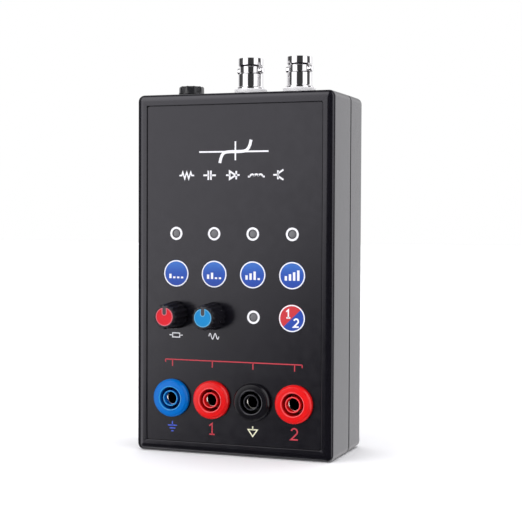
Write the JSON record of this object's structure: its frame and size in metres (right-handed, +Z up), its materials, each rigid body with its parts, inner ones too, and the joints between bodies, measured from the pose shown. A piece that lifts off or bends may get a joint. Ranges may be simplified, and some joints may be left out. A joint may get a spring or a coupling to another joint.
{
  "type": "component tester",
  "caption": "Handheld bench tester: upright two-part case with keys, knobs and banana sockets in front, coaxial outlets and a power jack on top.",
  "frame": {"origin": "centre of the case's flat lower end, midway between the front rim and the rear face", "axes": "+Z up towards the connectors, +X to the right seen from the front, the control panel faces -Y"},
  "size_m": [0.081, 0.0511, 0.1538],
  "materials": {
    "case_black": "fine spark texture",
    "panel_print": "satin printed sheet",
    "lamp": "diffused, unlit",
    "key_blue": "satin print",
    "key_two_colour": "satin print, red and blue",
    "inner_black": "plain moulded",
    "knob_black": "matte moulded",
    "cap_red": "satin moulded",
    "cap_blue": "satin moulded",
    "socket_blue": "smooth moulded",
    "socket_red": "smooth moulded",
    "socket_black": "smooth moulded",
    "contact_nickel": "nickel plate",
    "connector_nickel": "nickel plate",
    "white_plastic": "smooth moulded",
    "contact_gold": "gold flash",
    "steel": "zinc plate",
    "jack_black": "satin moulded",
    "board_green": "solder mask",
    "relay_ivory": "moulded",
    "capacitor_can": "plain",
    "lead_red": "wire insulation",
    "lead_white": "wire insulation",
    "lead_black": "wire insulation"
  },
  "bodies": {
    "case": {"front_shell": "case_black", "rear_shell": "case_black", "panel_overlay": "panel_print", "case_screws": "steel", "led_low": "lamp", "led_medium_1": "lamp", "led_medium_2": "lamp", "led_high": "lamp", "led_channel": "lamp", "switch_bases": "inner_black", "switch_covers": "steel", "red_pot_housing": "board_green", "blue_pot_housing": "board_green", "ground_socket": "socket_blue", "channel_1_socket": "socket_red", "common_socket": "socket_black", "channel_2_socket": "socket_red", "ground_contact": "contact_nickel", "channel_1_contact": "contact_nickel", "common_contact": "contact_nickel", "channel_2_contact": "contact_nickel", "socket_nuts": "inner_black", "socket_tags": "steel", "bnc_left_body": "connector_nickel", "bnc_right_body": "connector_nickel", "bnc_left_washer": "white_plastic", "bnc_right_washer": "white_plastic", "bnc_insulators": "white_plastic", "bnc_contacts": "contact_gold", "bnc_nuts": "steel", "bnc_ground_tags": "steel", "power_jack_body": "jack_black", "power_jack_nut": "jack_black", "power_jack_washer": "steel", "power_jack_pin": "contact_nickel", "main_board": "board_green", "board_screws": "steel", "relays": "relay_ivory", "chips": "inner_black", "capacitors": "capacitor_can", "chip_resistors": "inner_black", "socket_leads": "lead_red", "output_leads": "lead_white", "power_leads": "lead_black"},
    "low_key": {"key_low": "key_blue", "plunger_low": "inner_black"},
    "medium_1_key": {"key_medium_1": "key_blue", "plunger_medium_1": "inner_black"},
    "medium_2_key": {"key_medium_2": "key_blue", "plunger_medium_2": "inner_black"},
    "high_key": {"key_high": "key_blue", "plunger_high": "inner_black"},
    "channel_key": {"key_channel": "key_two_colour", "plunger_channel": "inner_black"},
    "red_knob": {"red_knob": "knob_black", "red_knob_cap": "cap_red", "red_pot_shaft": "steel"},
    "blue_knob": {"blue_knob": "knob_black", "blue_knob_cap": "cap_blue", "blue_pot_shaft": "steel"}
  },
  "joints": [
    {"name": "press_low", "type": "slide", "parent": "case", "child": "low_key", "axis": [0, 1, 0], "range_m": [0, 0.0003], "stiffness_N_per_m": 4000},
    {"name": "press_medium_1", "type": "slide", "parent": "case", "child": "medium_1_key", "axis": [0, 1, 0], "range_m": [0, 0.0003], "stiffness_N_per_m": 4000},
    {"name": "press_medium_2", "type": "slide", "parent": "case", "child": "medium_2_key", "axis": [0, 1, 0], "range_m": [0, 0.0003], "stiffness_N_per_m": 4000},
    {"name": "press_high", "type": "slide", "parent": "case", "child": "high_key", "axis": [0, 1, 0], "range_m": [0, 0.0003], "stiffness_N_per_m": 4000},
    {"name": "press_channel", "type": "slide", "parent": "case", "child": "channel_key", "axis": [0, 1, 0], "range_m": [0, 0.0003], "stiffness_N_per_m": 4000},
    {"name": "turn_red_knob", "type": "hinge", "parent": "case", "child": "red_knob", "pos_m": [-0.02355, -0.0196, 0.054], "axis": [0, -1, 0], "range_deg": [-150, 150]},
    {"name": "turn_blue_knob", "type": "hinge", "parent": "case", "child": "blue_knob", "pos_m": [-0.00765, -0.0196, 0.054], "axis": [0, -1, 0], "range_deg": [-150, 150]}
  ]
}
